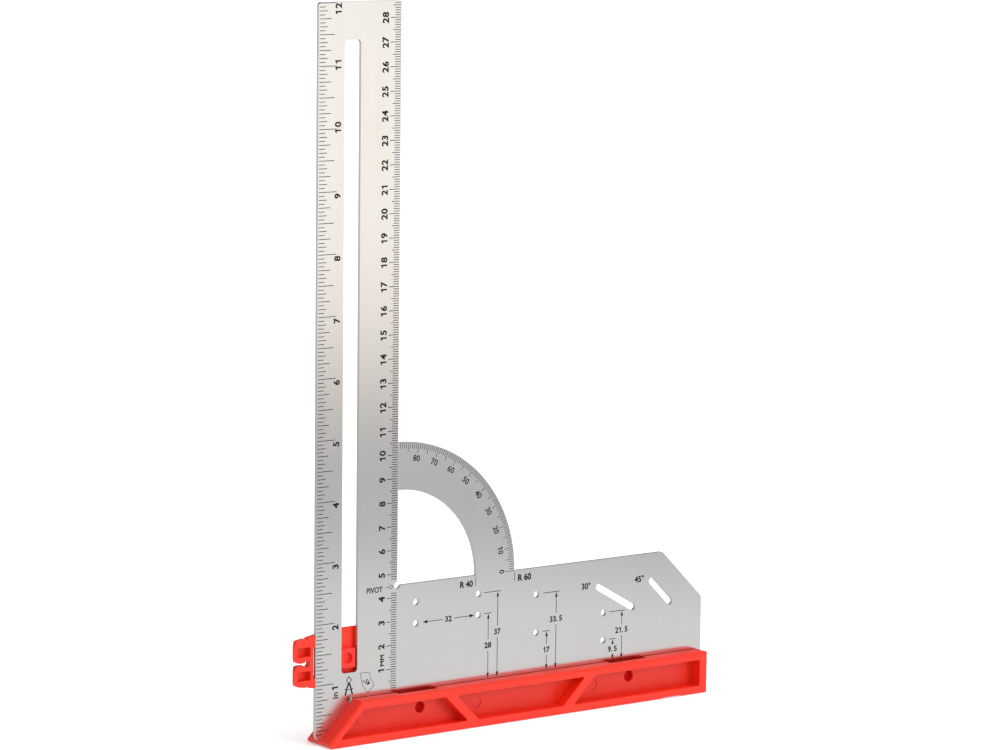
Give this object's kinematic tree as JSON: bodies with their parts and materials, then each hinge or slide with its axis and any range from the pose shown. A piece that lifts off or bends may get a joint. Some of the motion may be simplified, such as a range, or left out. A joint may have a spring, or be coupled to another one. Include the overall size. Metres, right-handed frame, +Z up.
{
  "type": "carpenter square",
  "caption": "Steel square blade with ruler, arm and quarter-ring protractor, held in a moulded stock with a mitre end, and a marking slider on the ruler.",
  "frame": {"origin": "on the stock's base, in the blade's middle plane, under the ruler's inner edge", "axes": "+X along the stock and arm, away from the mitre; +Y through the thickness, towards the back; +Z up the ruler"},
  "size_m": [0.212, 0.0176, 0.3052],
  "materials": {
    "steel": "satin",
    "red_plastic": "satin",
    "magnet_nickel": "polished"
  },
  "bodies": {
    "square": {"blade": "steel", "stock": "red_plastic", "stock_pin_left": "red_plastic", "stock_pin_right": "red_plastic"},
    "slider": {"slider_body": "red_plastic", "slider_magnet_upper": "magnet_nickel", "slider_magnet_lower": "magnet_nickel"}
  },
  "joints": [
    {"name": "slider_travel", "type": "slide", "parent": "square", "child": "slider", "axis": [0, 0, 1], "range_m": [-0.00145, 0.24965]}
  ]
}
